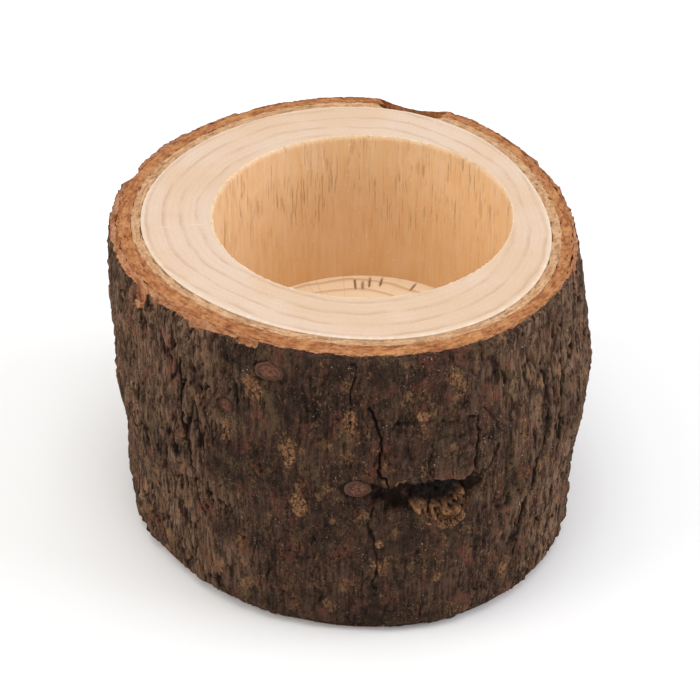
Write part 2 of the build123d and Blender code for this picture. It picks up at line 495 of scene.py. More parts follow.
def ring_profile(wall_rows, top_rows, inner_rows=6):
    """A closed ring section on the plain grid."""
    outer = [(GRID_OUT, z) for z in np.linspace(0, TOP, wall_rows + 1)]
    top = [(GRID_OUT - q, TOP) for q in np.linspace(0, 1, top_rows + 1)[1:]]
    inner = [(GRID_IN, z) for z in np.linspace(TOP, 0, inner_rows + 1)[1:]]
    foot = [(GRID_IN + q, 0) for q in (0.25, 0.5, 0.75)]
    return outer + top + inner + foot


def plain_grid(mesh):
    """Angle, share of the way out, and height of every vertex of a spun ring."""
    co = np.array([v.co for v in mesh.verts])
    angles = np.degrees(np.arctan2(co[:, 1], co[:, 0]))
    return angles, np.hypot(co[:, 0], co[:, 1]) - GRID_IN, co[:, 2]


def place_round(vertex, centre, angle, radius, height):
    a = math.radians(angle)
    vertex.co = (centre[0] + radius * math.cos(a), centre[1] + radius * math.sin(a), height)


# --- finishes


class Finish:
    """A material built up from patterns in millimetres."""

    def __init__(self, name, roughness, specular=0.3):
        self.material = bpy.data.materials.new(name)
        self.material.use_nodes = True
        self.tree = self.material.node_tree
        self.shader = self.tree.nodes["Principled BSDF"]
        self.shader.inputs["Roughness"].default_value = roughness
        self.shader.inputs["Specular IOR Level"].default_value = specular
        self.coordinates = self.tree.nodes.new("ShaderNodeTexCoord").outputs["Object"]

    def node(self, kind, settings=None, **inputs):
        made = self.tree.nodes.new(kind)
        for key, value in (settings or {}).items():
            setattr(made, key, value)
        for key, value in inputs.items():
            self.feed(made.inputs[key.replace("_", " ")], value)
        return made

    def feed(self, socket, value):
        if isinstance(value, bpy.types.NodeSocket):
            self.tree.links.new(value, socket)
        else:
            socket.default_value = value

    def space(self, stretch=(1, 1, 1), shift=(0, 0, 0)):
        """Object coordinates in units of the given lengths in millimetres."""
        scale = [1 / MM / s for s in stretch]
        made = self.node("ShaderNodeMapping", Scale=scale, Location=shift)
        self.feed(made.inputs["Vector"], self.coordinates)
        return made.outputs["Vector"]

    def mottle(self, stretch, detail=3.0, roughness=0.55, shift=(0, 0, 0), vector=None):
        """Cloudy noise, from 0 to 1, with features about as long as the stretch."""
        made = self.node(
            "ShaderNodeTexNoise",
            Vector=vector or self.space(stretch, shift),
            Scale=1.0,
            Detail=detail,
            Roughness=roughness,
        )
        return made.outputs["Fac"]

    def cells(self, stretch):
        """Distance from the middle of the nearest grain."""
        made = self.node("ShaderNodeTexVoronoi", Scale=1.0)
        self.feed(made.inputs["Vector"], self.space(stretch))
        return made.outputs["Distance"]

    def mark(self, name):
        return self.node("ShaderNodeAttribute", {"attribute_name": name}).outputs["Fac"]

    def sum(self, kind, a, b=0.0):
        made = self.node("ShaderNodeMath", {"operation": kind})
        self.feed(made.inputs[0], a)
        self.feed(made.inputs[1], b)
        return made.outputs[0]

    def vector(self, kind, a, b=(0, 0, 0)):
        made = self.node("ShaderNodeVectorMath", {"operation": kind})
        self.feed(made.inputs[0], a)
        self.feed(made.inputs[1], b)
        return made.outputs[0]

    def between(self, value, low, high, to_low=0.0, to_high=1.0):
        """Smooth step of a value from low to high, turned into to_low to to_high."""
        made = self.node("ShaderNodeMapRange", {"interpolation_type": "SMOOTHSTEP"})
        for socket, v in zip(made.inputs, (value, low, high, to_low, to_high)):
            self.feed(socket, v)
        return made.outputs[0]

    def blend(self, share, a, b):
        """Colour a with the given share of colour b."""
        made = self.node("ShaderNodeMix", {"data_type": "RGBA"})
        self.feed(made.inputs["Factor"], share)
        self.feed(made.inputs[6], self.colour(a))
        self.feed(made.inputs[7], self.colour(b))
        return made.outputs[2]

    @staticmethod
    def colour(value):
        return value if isinstance(value, bpy.types.NodeSocket) else (*value, 1.0)

    def bump(self, height, depth_mm, after=None):
        made = self.node("ShaderNodeBump", Strength=1.0, Distance=depth_mm * MM, Height=height)
        if after:
            self.feed(made.inputs["Normal"], after)
        return made.outputs["Normal"]

    def done(self, colour, normal=None, roughness=None):
        self.feed(self.shader.inputs["Base Color"], colour)
        if normal:
            self.feed(self.shader.inputs["Normal"], normal)
        if roughness:
            self.feed(self.shader.inputs["Roughness"], roughness)
        return self.material


WOOD_GIRTH = 28.0  # a round figure for the wood's radius


def from_pith(f, across, outward=None):
    """Coordinates round the pith, for rays, and outwards too when a size is given for that."""
    centred = f.vector("SUBTRACT", f.coordinates, (PITH.x * MM, PITH.y * MM, 0))
    flat = f.vector("MULTIPLY", centred, (1, 1, 0))
    lengths = (WOOD_GIRTH / across,) * 3
    around = f.vector("MULTIPLY", f.vector("NORMALIZE", flat), lengths)
    if outward is None:
        return around
    distance = f.node("ShaderNodeVectorMath", {"operation": "LENGTH"}, Vector=flat)
    layer = f.sum("DIVIDE", distance.outputs["Value"], outward * MM)
    return f.vector("ADD", around, f.node("ShaderNodeCombineXYZ", Z=layer).outputs[0])


def growth_rings(f, width=2.3):
    """Late wood of each year: 0 in early wood, rising to 1 and dropping at once."""
    wobble = f.sum("MULTIPLY", f.sum("SUBTRACT", f.mottle((14, 14, 60), 3.0), 0.5), 1.3)
    years = f.sum("ADD", f.sum("DIVIDE", f.mark("growth"), width), wobble)
    part = f.sum("FRACT", years)
    late = f.between(part, 0.62, 0.94)
    closing = f.between(part, 0.94, 1.0, 1.0, 0.0)
    return f.sum("MULTIPLY", late, closing)


def sawn_wood():
    f = Finish("sawn_wood", 0.62, specular=0.2)
    rings = growth_rings(f)
    faint = growth_rings(f, 0.83)
    rays = f.mottle(None, 2.0, vector=from_pith(f, 0.45))
    clouds = f.mottle((12, 12, 12), 3.0)
    tint = f.blend(f.between(clouds, 0.35, 0.65), (0.66, 0.475, 0.33), (0.685, 0.525, 0.41))
    patchy = f.between(f.mottle((5, 5, 5), 3.0, shift=(3, 1, 0)), 0.35, 0.65, 0.12, 0.7)
    tint = f.blend(f.sum("MULTIPLY", rings, patchy), tint, (0.53, 0.35, 0.23))
    tint = f.blend(f.sum("MULTIPLY", faint, 0.16), tint, (0.54, 0.37, 0.24))
    broken = f.between(f.mottle((2.2, 2.2, 2.2), 2.0, shift=(5, 5, 0)), 0.45, 0.62)
    ray_line = f.sum("MULTIPLY", f.between(rays, 0.66, 0.75), broken)
    tint = f.blend(f.sum("MULTIPLY", ray_line, 0.6), tint, (0.80, 0.69, 0.56))
    grains = f.mottle((0.3, 0.3, 0.3), 2.0)
    tint = f.blend(f.between(grains, 0.56, 0.74, 0, 0.3), tint, (0.50, 0.34, 0.21))
    tint = f.blend(f.between(grains, 0.42, 0.28, 0, 0.28), tint, (0.78, 0.66, 0.52))
    # Pale torn fibres with a painted highlight along the sawn edges
    tint = f.blend(f.mark("fuzz_highlight"), tint, (0.80, 0.69, 0.56))
    saw = f.mottle((0.35, 9, 3), 2.0)
    height = f.sum("ADD", f.sum("MULTIPLY", saw, 0.5), grains)
    return f.done(tint, f.bump(height, 0.06))


def bored_wall():
    f = Finish("bored_wall", 0.6, specular=0.25)
    streaks = f.mottle((0.7, 0.7, 7), 4.0, 0.6)
    fine = f.mottle((0.2, 0.2, 5), 3.0, 0.55)
    patches = f.mottle((5, 5, 6), 2.0)
    tint = f.blend(f.between(streaks, 0.3, 0.7), (0.78, 0.50, 0.255), (0.815, 0.575, 0.34))
    tint = f.blend(f.between(patches, 0.45, 0.7, 0, 0.5), tint, (0.85, 0.60, 0.40))
    crowd = f.between(f.mottle((4, 4, 7), 2.0, shift=(1, 8, 0)), 0.4, 0.62, 0.1, 1)
    up = f.node("ShaderNodeSeparateXYZ", Vector=f.coordinates).outputs["Z"]
    crowd = f.sum("MULTIPLY", crowd, f.between(up, (FLOOR + 3) * MM, (TOP - 9) * MM, 0.15, 1))
    slits = f.sum("MULTIPLY", f.between(fine, 0.57, 0.68), crowd)
    tint = f.blend(f.sum("MULTIPLY", slits, 0.6), tint, (0.62, 0.35, 0.16))
    tint = f.blend(f.between(f.mark("torn"), 0.1, 0.9, 0, 0.38), tint, (0.52, 0.28, 0.12))
    flecks = f.between(f.mottle((0.3, 0.3, 0.6), 2.0, shift=(2, 0, 7)), 0.66, 0.74, 0, 0.6)
    tint = f.blend(flecks, tint, (0.93, 0.76, 0.58))
    # Pale torn fibres with a painted highlight along the bore's edge
    tint = f.blend(f.mark("fuzz_highlight"), tint, (0.86, 0.70, 0.52))
    height = f.sum("ADD", f.sum("MULTIPLY", slits, -0.8), f.sum("MULTIPLY", streaks, 0.7))
    return f.done(tint, f.bump(height, 0.1))


def bored_floor():
    f = Finish("bored_floor", 0.6, specular=0.25)
    clouds = f.mottle((5, 5, 5), 3.0)
    tint = f.blend(clouds, (0.95, 0.78, 0.56), (0.97, 0.86, 0.66))
    tint = f.blend(f.sum("MULTIPLY", growth_rings(f), 0.7), tint, (0.66, 0.42, 0.23))
    rays = f.mottle(None, 2.0, vector=from_pith(f, 0.8))
    tint = f.blend(f.between(rays, 0.38, 0.28, 0, 0.45), tint, (0.60, 0.37, 0.19))
    tint = f.blend(f.between(f.mark("torn"), 0.1, 0.7, 0, 0.75), tint, (0.33, 0.17, 0.075))
    height = f.mottle((0.2, 0.2, 0.2), 3.0)
    return f.done(tint, f.bump(height, 0.06))


def pith_core():
    f = Finish("pith_core", 0.9, specular=0.1)
    grains = f.cells((0.35, 0.35, 0.9))
    tint = f.blend(grains, (0.42, 0.22, 0.10), (0.22, 0.10, 0.045))
    return f.done(tint, f.bump(grains, 0.12))


def granular(f, pale, mid, deep, pit, size=0.5):
    """Crumbly sawn bark: soft grains and streaks with a few dark pits."""
    grains = f.cells((size, size, size * 1.6))
    drift = f.mottle((1.7, 1.7, 1.7), 4.0, 0.6)
    tint = f.blend(f.between(drift, 0.34, 0.66), mid, pale)
    tint = f.blend(f.between(grains, 0.4, 0.85, 0, 0.55), tint, deep)
    fine = f.mottle((0.3, 0.3, 0.4), 4.0, 0.65)
    tint = f.blend(f.between(fine, 0.54, 0.7, 0, 0.6), tint, deep)
    layers = f.mottle(None, 4.0, 0.6, vector=from_pith(f, 1.5, 0.4))
    tint = f.blend(f.between(layers, 0.48, 0.62, 0, 0.85), tint, deep)
    tint = f.blend(f.between(layers, 0.45, 0.34, 0, 0.5), tint, pale)
    tint = f.blend(f.between(f.mark("pit"), 0.2, 0.85, 0, 0.75), tint, pit)
    height = f.sum("SUBTRACT", fine, f.sum("MULTIPLY", grains, 0.5))
    return tint, f.bump(height, 0.12)


def sawn_bast():
    f = Finish("sawn_bast", 0.85, specular=0.15)
    tint, normal = granular(
        f, (0.66, 0.42, 0.245), (0.54, 0.31, 0.16), (0.40, 0.21, 0.10), (0.16, 0.095, 0.05), 0.42
    )
    return f.done(tint, normal)


def sawn_cork():
    f = Finish("sawn_cork", 0.88, specular=0.15)
    tint, normal = granular(
        f, (0.51, 0.24, 0.105), (0.41, 0.165, 0.06), (0.26, 0.085, 0.03), (0.13, 0.035, 0.014), 0.5
    )
    warm = f.between(f.mottle((3, 3, 5), 3.0, shift=(4, 4, 4)), 0.52, 0.66, 0, 0.5)
    tint = f.blend(warm, tint, (0.60, 0.31, 0.12))
    return f.done(tint, normal)


# Patches of colour on the crust: shift and size of the pattern, where it starts, share, colour
BARK_PATCHES = (
    ((9, 0, 2), 2.8, 0.53, 0.8, (0.16, 0.058, 0.036)),
    ((0, 7, 5), 2.2, 0.56, 0.9, (0.25, 0.135, 0.062)),
    ((2, 2, 8), 3.8, 0.54, 0.6, (0.115, 0.078, 0.038)),
    ((6, 3, 4), 3.4, 0.52, 0.8, (0.018, 0.011, 0.009)),
)


def bark_ground(f, weather, pattern, hairs, fine, sides):
    """The crust's brown: paler and greyer where it is weathered, with a painted highlight on its ridges.
    """
    tint = f.blend(f.between(pattern, 0.38, 0.63), (0.022, 0.0125, 0.009), (0.072, 0.036, 0.023))
    tint = f.blend(f.sum("MULTIPLY", sides, 0.55), tint, (0.110, 0.060, 0.038))
    grey = f.sum("MULTIPLY", weather, f.between(hairs, 0.46, 0.58))
    tint = f.blend(f.sum("MULTIPLY", grey, 0.9), tint, (0.27, 0.165, 0.105))
    # Painted highlight: paler on the raised parts of the bark
    crest = f.sum("MULTIPLY", f.between(f.mark("crest"), 0.45, 0.95), f.between(fine, 0.4, 0.62))
    return f.blend(f.sum("MULTIPLY", crest, 0.42), tint, (0.17, 0.105, 0.066))


def bark_patches(f, tint, weather, fine):
    """Red, ochre, olive and black patches, then a darker cast on the smooth front."""
    for shift, size, low, share, patch in BARK_PATCHES:
        spread = f.between(f.mottle((size, size, size * 1.5), 5.0, 0.66, shift), low, low + 0.1)
        spread = f.sum("MULTIPLY", spread, f.between(fine, 0.36, 0.54))
        tint = f.blend(f.sum("MULTIPLY", spread, share), tint, patch)
    return f.blend(f.between(weather, 0.45, 0.15, 0, 0.25), tint, (0.022, 0.013, 0.010))


def bare_flecks_and_glints(f, tint, crumbs, fine):
    """Inner bark that shows where the crust has come off, and small pale glints."""
    bare = f.between(f.sum("ADD", f.mark("bare"), f.sum("MULTIPLY", crumbs, 1.2)), 0.98, 1.22)
    bare = f.sum("MULTIPLY", bare, f.between(fine, 0.36, 0.5))
    bare_tint = f.blend(f.between(fine, 0.42, 0.62), (0.12, 0.05, 0.026), (0.38, 0.195, 0.09))
    tint = f.blend(f.sum("MULTIPLY", bare, 0.8), tint, bare_tint)
    # Painted highlight: small pale glints
    glint = f.between(f.mottle((0.28, 0.28, 0.32), 2.0, shift=(1, 5, 3)), 0.67, 0.73)
    crowd = f.between(f.mottle((3.2, 3.2, 4.2), 3.0, shift=(5, 5, 1)), 0.48, 0.6)
    return f.blend(f.sum("MULTIPLY", glint, crowd), tint, (0.50, 0.38, 0.27))


def bark_dirt_and_shade(f, tint, weather, hairs, fine, crumbly):
    """Pits and grit among the crumbs, gaps between the fibres, and painted shade in the hollows."""
    pits = f.sum("MULTIPLY", f.between(fine, 0.44, 0.34), crumbly)
    tint = f.blend(f.sum("MULTIPLY", pits, 0.85), tint, (0.012, 0.007, 0.0055))
    grit = f.sum("MULTIPLY", f.between(fine, 0.56, 0.68), crumbly)
    tint = f.blend(f.sum("MULTIPLY", grit, 0.6), tint, (0.21, 0.135, 0.085))
    gaps = f.sum("MULTIPLY", f.between(hairs, 0.43, 0.35), f.between(weather, 0.1, 0.5, 0.1, 0.85))
    tint = f.blend(gaps, tint, (0.017, 0.010, 0.008))
    # Painted shade: near-black in the furrows, cracks, seams and the scar's hollow
    return f.blend(f.between(f.mark("hollow"), 0.12, 0.75, 0, 0.92), tint, (0.010, 0.0055, 0.004))


def weathered_bark():
    f = Finish("weathered_bark", 0.9, specular=0.06)
    weather = f.mark("weather")
    streaks = f.mottle((0.8, 0.8, 5.5), 5.0, 0.62)
    crumbs = f.mottle((1.5, 1.5, 1.7), 6.0, 0.7, shift=(8, 2, 0))
    fine = f.mottle((0.3, 0.3, 0.45), 4.0, 0.72, shift=(3, 0, 1))
    hairs = f.mottle((0.42, 0.42, 4.2), 4.0, 0.6, shift=(0, 6, 3))
    crumbly = f.between(f.mottle((4.5, 4.5, 6), 3.0, 0.6, (7, 1, 9)), 0.44, 0.56, 0.25, 1.0)
    sides = f.between(weather, 0.2, 0.6)
    pattern = f.node("ShaderNodeMix", {"data_type": "FLOAT"})
    for socket, value in zip((0, 2, 3), (sides, crumbs, streaks)):
        f.feed(pattern.inputs[socket], value)
    pattern = pattern.outputs[0]

    tint = bark_ground(f, weather, pattern, hairs, fine, sides)
    tint = bark_patches(f, tint, weather, fine)
    tint = bare_flecks_and_glints(f, tint, crumbs, fine)
    tint = bark_dirt_and_shade(f, tint, weather, hairs, fine, crumbly)
    cut, cut_normal = granular(
        f, (0.55, 0.285, 0.155), (0.46, 0.195, 0.09), (0.28, 0.10, 0.04), (0.13, 0.045, 0.02), 0.5
    )
    ragged = f.sum("MULTIPLY", f.sum("SUBTRACT", fine, 0.5), 0.9)
    tint = f.blend(f.between(f.sum("ADD", f.mark("raw"), ragged), 0.4, 0.6), tint, cut)
    height = f.sum("ADD", pattern, f.sum("MULTIPLY", hairs, 0.6))
    height = f.sum("ADD", height, f.sum("MULTIPLY", fine, crumbly))
    roughness = f.between(fine, 0.3, 0.7, 0.95, 0.7)
    return f.done(tint, f.bump(height, 0.3, cut_normal), roughness)


def torn_wood():
    f = Finish("torn_wood", 0.8, specular=0.2)
    fibres = f.mottle((0.4, 0.4, 1.6), 5.0, 0.65)
    patches = f.mottle((1.3, 1.3, 1.6), 3.0, 0.6)
    tint = f.blend(f.between(patches, 0.35, 0.65), (0.09, 0.042, 0.02), (0.27, 0.12, 0.046))
    tint = f.blend(f.between(fibres, 0.56, 0.7, 0, 0.8), tint, (0.44, 0.235, 0.105))
    tint = f.blend(f.between(fibres, 0.45, 0.34, 0, 0.85), tint, (0.045, 0.025, 0.014))
    tint = f.blend(f.mark("splinter"), tint, (0.44, 0.22, 0.10))
    # Painted shade: near-black deep in the scar and between the torn fibres
    tint = f.blend(f.mark("hollow"), tint, (0.012, 0.007, 0.005))
    return f.done(tint, f.bump(fibres, 0.3))


def twig_end():
    f = Finish("twig_end", 0.8, specular=0.2)
    fine = f.mottle((0.35, 0.35, 0.35), 4.0, 0.65)
    rings = f.sum("FRACT", f.sum("ADD", f.sum("MULTIPLY", f.mark("heart"), 3.2), fine))
    tint = f.blend(f.between(rings, 0.3, 0.8), (0.070, 0.034, 0.022), (0.115, 0.052, 0.034))
    core = f.sum("MULTIPLY", f.between(f.mark("heart"), 0.15, 0.6), f.between(fine, 0.4, 0.6))
    tint = f.blend(f.sum("MULTIPLY", core, 0.7), tint, (0.25, 0.095, 0.052))
    tint = f.blend(f.between(fine, 0.44, 0.34, 0, 0.8), tint, (0.025, 0.013, 0.010))
    return f.done(tint, f.bump(fine, 0.25))


# --- the wood


TEAR_DEPTH = 0.15  # of the deepest tear-out in the bore's wall


def edge_fuzz_highlight(angle, seed):
    """Pale torn fibres at a sawn edge, with a painted highlight where they catch the light."""
    place = on_bark(angle, 0)
    return 0.45 + 0.9 * max(0.0, grain(place, 0.9, 9, 2, seed))


def tear(angle, height):
    """Depth of the tear-outs that the boring bit left in the wall, in thin upright streaks."""
    a = math.radians(angle)
    spot = Vector((BORE_RADIUS * math.cos(a), BORE_RADIUS * math.sin(a), height))
    streak = grain(spot, 0.4, 4.6, 2, 41)
    crowd = smoothstep(-0.4, 0.25, grain(spot, 4, 7, 2, 42))
    upper = 0.25 + 0.75 * smoothstep(FLOOR + 6, TOP - 10, height)
    return TEAR_DEPTH * smoothstep(0.22, 0.7, streak) * crowd * upper


# Radial splits in the bored floor: angle, and the radii where each starts and ends
FLOOR_SPLITS = (
    (93.0, 17.0, 19.2),
    (89.5, 16.8, 18.6),
    (86.2, 17.3, 19.4),
    (81.0, 17.8, 19.6),
    (66.0, 18.0, 19.8),
)
SPLIT_HALF_WIDTH, SPLIT_TAPER = 0.17, 0.25


def floor_split(x, y):
    """Short radial splits near the edge of the bored floor."""
    r, a = math.hypot(x, y), math.degrees(math.atan2(y, x))
    deepest = 0.0
    for at, start, end in FLOOR_SPLITS:
        across = math.radians(turn_between(a, at)) * r
        along = max(start - r, r - end, 0.0)
        deepest = max(deepest, line_in(across, SPLIT_HALF_WIDTH) * line_in(along, SPLIT_TAPER))
    return deepest


def sawn_top(angle, radius, outline):
    """Lift of the sawn top face, and the pale torn fibres with their painted highlight along its two
    edges.
    """
    edge = outline - radius
    outer = edge_fuzz_highlight(angle, 31) * smoothstep(0.5, 0.1, edge)
    inner = edge_fuzz_highlight(angle, 32) * smoothstep(0.4, 0.05, radius - BORE_RADIUS)
    lift = 0.025 * plain(on_bark(angle, radius), 2.5, 33) - 0.12 * smoothstep(0.3, 0.0, edge)
    return lift, min(1.0, max(outer, inner))


def bored_side(angle, height):
    """Radius of the bore's wall, its pale torn fibres with their painted highlight at the edge, and how
    torn it is, from 0 to 1.
    """
    torn = tear(angle, height)
    under_edge = TOP - height
    ragged = 0.16 * grain(on_bark(angle, 0), 0.8, 9, 2, 34)
    radius = BORE_RADIUS + torn + ragged * smoothstep(1.2, 0.0, under_edge)
    radius += 0.22 * smoothstep(0.25, 0.0, under_edge)
    fuzz_highlight = 0.8 * edge_fuzz_highlight(angle, 32) * smoothstep(0.45, 0.0, under_edge)
    return radius, fuzz_highlight, torn / TEAR_DEPTH


def bored_bottom(angle, radius):
    """Height of the bore's floor, with the cutter's rings, its centre mark and the splits."""
    a = math.radians(angle)
    split = floor_split(radius * math.cos(a), radius * math.sin(a))
    height = FLOOR + 0.035 * math.sin(radius * 4.2) - 0.45 * split
    return height - 0.7 * max(0.0, 1 - radius / 1.1), split


def wood():
    foot = [(q * GRID_OUT, 0) for q in np.linspace(0, 1, 22)]
    side = [(GRID_OUT, z) for z in np.linspace(0, TOP, 12)[1:-1]]
    top = [(GRID_OUT - q, TOP) for q in np.linspace(0, 1, 30)]
    wall = [(GRID_IN, z) for z in np.linspace(TOP, FLOOR, 62)[1:]]
    floor = [(q, FLOOR) for q in np.linspace(GRID_IN, 0, 40)[1:]]
    mesh = spun(foot + side + top + wall + floor, False, WOOD_STEPS)
    for face in mesh.faces:
        centre = face.calc_center_median()
        r = math.hypot(centre.x, centre.y)
        if r < GRID_IN + 0.02 and centre.z > FLOOR - 0.01:
            face.material_index = 1 if centre.z > FLOOR + 0.05 else 2
    marks = {"growth": [], "fuzz_highlight": [], "torn": []}
    for v in mesh.verts:
        q, z = math.hypot(v.co.x, v.co.y), v.co.z
        angle = math.degrees(math.atan2(v.co.y, v.co.x))
        outline = float(WOOD_FROM_BORE.radius(angle, z)[0])
        height, fuzz_highlight, torn = z, 0.0, 0.0
        if z < 0.001:
            radius, height = q / GRID_OUT * outline, 0.0
        elif q > GRID_IN + 0.001:
            radius = BORE_RADIUS + (q - GRID_IN) * (outline - BORE_RADIUS)
            if z > TOP - 0.001:
                lift, fuzz_highlight = sawn_top(angle, radius, outline)
                height += lift
        elif z > FLOOR + 0.001 or q > GRID_IN - 0.001:
            radius, fuzz_highlight, torn = bored_side(angle, z)
        else:
            radius = q / GRID_IN * BORE_RADIUS
            height, torn = bored_bottom(angle, radius)
        place_round(v, (0, 0), angle, radius, height)
        x, y = v.co.x - PITH.x, v.co.y - PITH.y
        around = math.degrees(math.atan2(y, x))
        share = math.hypot(x, y) / float(WOOD.radius(around, v.co.z)[0])
        marks["growth"].append(WOOD_GIRTH * share)
        marks["fuzz_highlight"].append(fuzz_highlight)
        marks["torn"].append(torn)
    finishes = (sawn_wood(), bored_wall(), bored_floor())
    return finished(mesh, "log_wood", finishes, ["wood_body"], marks, sharp=40)


def pith():
    low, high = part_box("pith")[0].z / MM, FLOOR
    rows = [(0, low - 0.04), (0.5, low - 0.06), (0.92, low - 0.05), (1, low + 0.1)]
    rows += [(1, z) for z in np.linspace(low, high, 7)[1:-1]]
    rows += [(1, high - 0.1), (0.94, high + 0.08), (0.5, high + 0.1), (0, high + 0.06)]
    mesh = spun(rows, False, 28)
    for v in mesh.verts:
        angle = math.degrees(math.atan2(v.co.y, v.co.x))
        star = 1 + 0.10 * math.cos(math.radians(5 * angle)) + 0.05 * plain(v.co, 0.8, 51)
        radius = math.hypot(v.co.x, v.co.y) * PITH_RADIUS * star
        place_round(v, PITH, angle, radius, v.co.z)
    return finished(mesh, "pith_core", (pith_core(),), ["pith"])


# --- the bark


def layer_edge(angle, size, depth, seed):
    """The ragged line between two layers on the sawn face."""
    return depth * grain(on_bark(angle, 0), size, 9, 2, seed)


def soft_layer(name, node, finish, inside, outside, ragged, seed):
    """A sawn ring of bast or cork: crumbly on top, plain on its walls."""
    mesh = spun(ring_profile(24, 11), True, SOFT_STEPS)
    angles, shares, heights = plain_grid(mesh)
    inner, outer = inside.radius(angles, heights), outside.radius(angles, heights)
    crust = CRUST.radius(angles, heights)
    pits = []
    for i, v in enumerate(mesh.verts):
        angle, q, z = angles[i], shares[i], heights[i]
        place = on_bark(angle, z)
        near_top = smoothstep(TOP - 2.5, TOP, z)
        out = outer[i] + near_top * layer_edge(angle, 1.1, ragged, seed + 1)
        within = inner[i] + 0.02
        if inside is not WOOD:
            within += near_top * layer_edge(angle, 1.1, 0.16, seed)
        limit = crust[i] - carved(angle, z) - 0.35
        out = min(out, limit)
        within = min(within, out - 0.15)
        radius = within + q * (out - within)
        height, pit = z, 0.0
        if z > TOP - 0.001:
            spot = Vector((place.x * radius / GIRTH, place.y * radius / GIRTH, 0))
            ring = Vector((place.x, place.y, radius))
            pit = 0.8 * smoothstep(0.25, 0.7, grain(ring, 1.5, 0.4, 3, seed + 2))
            height -= 0.06 + 0.2 * pit + 0.07 * (1 + grain(spot, 0.35, 1, 2, seed + 3))
            if inside is WOOD:
                gap = smoothstep(0.22, 0.0, q) * smoothstep(-0.1, 0.3, grain(place, 2.0, 9, 2, seed + 4))
                height -= 0.4 * gap
                pit = max(pit, gap)
            height -= 0.8 * rim_chip(angle, TOP - 1.0) * q
        place_round(v, PITH, angle, radius, height)
        pits.append(pit)
    return finished(mesh, name, (finish,), [node], {"pit": pits}, sharp=70)


FRONT_SHARE = 0.34  # how much closer together the steps are at the front


def crust():
    mesh = spun(ring_profile(116, 5, 20), True, CRUST_STEPS)
    angles, shares, heights = plain_grid(mesh)
    # More of the steps round the log are spent on the front, where the fine cracks are
    from_front = np.radians(angles + 90)
    angles = np.degrees(from_front - FRONT_SHARE * np.sin(from_front)) - 90
    inner, outer = CORK.radius(angles, heights), CRUST.radius(angles, heights)
    marks = {"hollow": [], "raw": [], "weather": [], "pit": [], "bare": [], "crest": []}
    for i, v in enumerate(mesh.verts):
        angle, q, z = angles[i], shares[i], heights[i]
        place = on_bark(angle, z)
        near_top = smoothstep(TOP - 2.5, TOP, z)
        relief, hollow, bare, crumbs = bark_relief(angle, z)
        chipped, notch = crust_edge(angle)
        ledge = smoothstep(0.1, 0.4, notch)
        raw = ledge * smoothstep(TOP - notch - 0.1, TOP - notch + 0.15, z + 0.15 * crumbs)
        relief = relief * (1 - 0.5 * near_top) - 0.3 * near_top
        # How far the bark stands out, kept for the painted highlight on its ridges
        crest = relief
        relief -= 0.75 * raw
        relief -= 1.0 * smoothstep(2.2, 0.0, z) ** 2 + 0.3 * smoothstep(6.0, 0.0, z)
        dent = rim_chip(angle, z)
        out = outer[i] + relief - dent
        within = inner[i] + near_top * layer_edge(angle, 1.1, 0.3, 72) + 0.02
        within = min(within, outer[i] - carved(angle, z) - 0.3)
        out = max(out, within + 0.12)
        radius = within + q * (out - within)
        drop = 0.08 + 0.14 * max(0.0, q) + (chipped + 0.75 * notch) * q**3 + 0.9 * dent * q
        height = z - drop * smoothstep(TOP - 3.2, TOP, z)
        pit = 0.0
        if z > TOP - 0.001 and q < 0.999:
            ring = Vector((place.x, place.y, radius))
            pit = 0.8 * smoothstep(0.25, 0.7, grain(ring, 1.5, 0.4, 3, 73))
            height -= 0.15 * pit + 0.07 * grain(place * (radius / GIRTH), 0.35, 9, 2, 76)
            # At the front right the dark crust reaches inwards over the sawn top
            clean = 0.3 + 0.65 * smoothstep(38, 50, abs(turn_between(angle, -72)))
            raw = max(raw, smoothstep(clean, clean - 0.25, q + 0.25 * plain(place, 1.4, 78)))
        raw = max(raw, smoothstep(0.5, 1.4, dent))
        foot = 0.75 * smoothstep(1.1, 0.2, z + 0.5 * plain(place, 3, 77))
        place_round(v, PITH, angle, radius, height)
        # Painted shade in the crust's hollows, weaker on raw cut bark, and a little on the top and inner
        # faces
        marks["hollow"].append(hollow * (1 - 0.8 * raw) if q > 0.5 else 0.2)
        marks["raw"].append(max(raw, foot * (0.5 + 0.5 * crumbs)))
        marks["weather"].append(furrowed(angle) * (0.7 + 0.6 * plain(place, 8, 75)))
        marks["pit"].append(pit)
        marks["bare"].append(bare)
        marks["crest"].append(0.5 + 0.9 * crest * math.sqrt(furrowed(angle)))
    finishes = (weathered_bark(),)
    return finished(mesh, "bark_crust", finishes, ["outer_bark"], marks, sharp=80)


# --- the knots


def branch_axis():
    """Root and outward direction of the side branch, from the CAD cone's two ends."""
    corners = [v.co / MM for v in NODES["branch_knot"].data.vertices]
    near = min(corners, key=lambda c: (c.to_2d() - PITH).length)
    inner = [c for c in corners if (c - near).length < 2.2]
    root = sum(inner, Vector()) / len(inner)
    a = math.radians(KNOT_ANGLE)
    reach = float(CRUST.radius(KNOT_ANGLE, KNOT_HEIGHT)[0])
    mouth = Vector((PITH.x + reach * math.cos(a), PITH.y + reach * math.sin(a), KNOT_HEIGHT))
    return root, mouth


